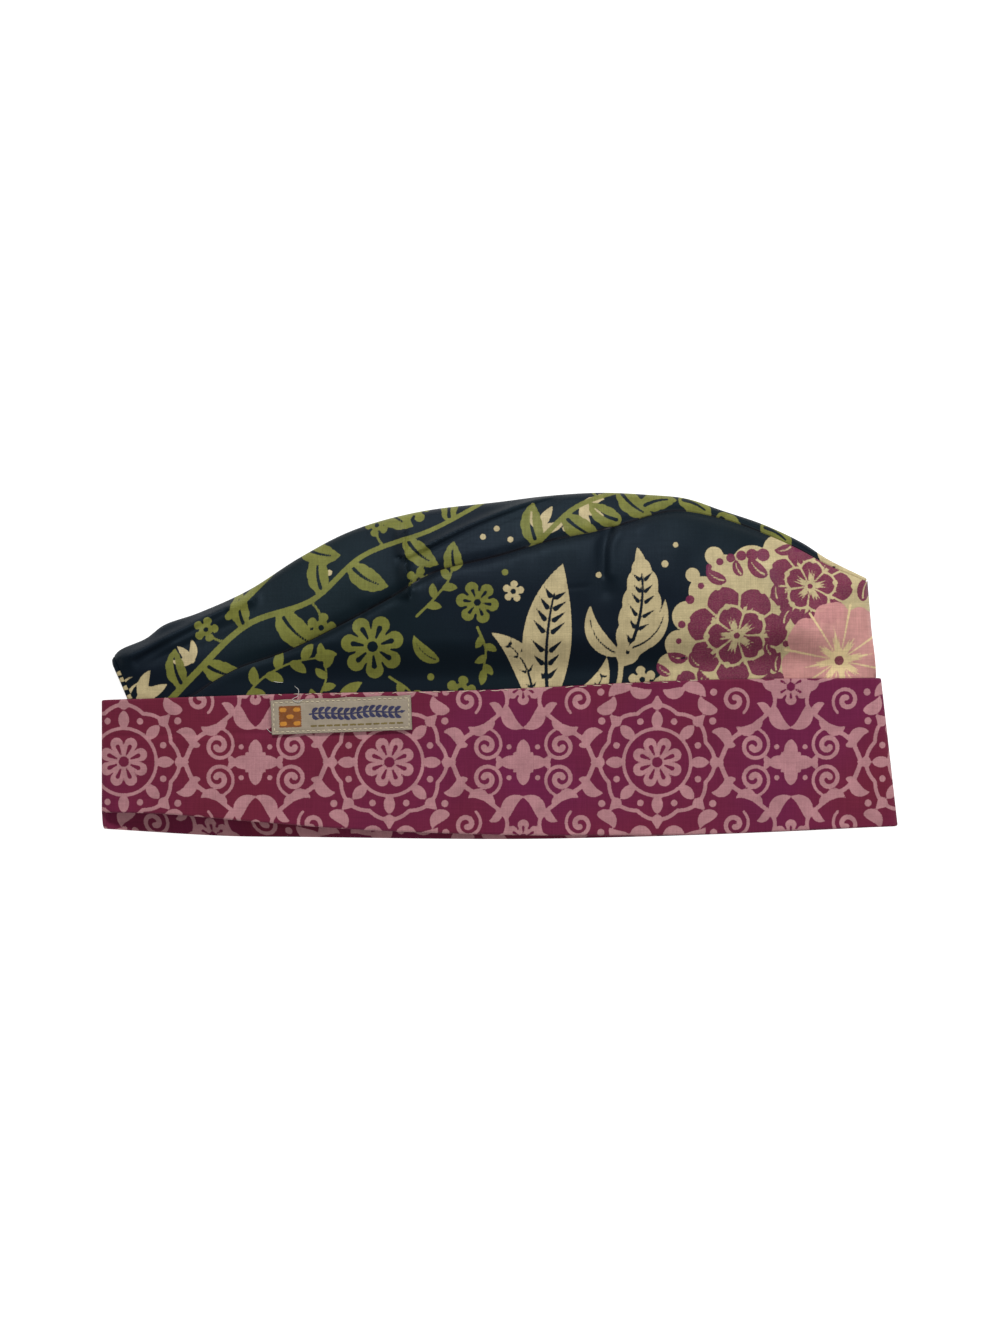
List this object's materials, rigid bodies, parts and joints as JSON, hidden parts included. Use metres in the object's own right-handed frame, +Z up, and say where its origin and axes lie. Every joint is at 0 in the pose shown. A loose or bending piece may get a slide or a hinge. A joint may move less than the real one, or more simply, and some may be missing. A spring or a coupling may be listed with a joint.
{
  "type": "scrub cap",
  "caption": "Soft printed-cotton scrub cap folded flat on its side, with a two-panel crown, a gathered nape, a wide turned-up band and a small woven label without text.",
  "frame": {"origin": "on the surface the cap lies on, under the middle of its outline", "axes": "+X from the band's back fold to its front fold, +Y from the head opening to the top of the crown, +Z up, out of the side of the cap that faces up"},
  "size_m": [0.292, 0.1272, 0.018],
  "materials": {
    "crown_cloth": "matt woven cotton with a floral print",
    "band_cloth": "matt woven cotton with a scrolling print",
    "label_satin": "woven satin ribbon"
  },
  "bodies": {
    "root": {"crown_top_panel": "crown_cloth", "crown_side_panel": "crown_cloth", "back_hem": "crown_cloth", "band": "band_cloth", "label": "label_satin"}
  },
  "joints": []
}
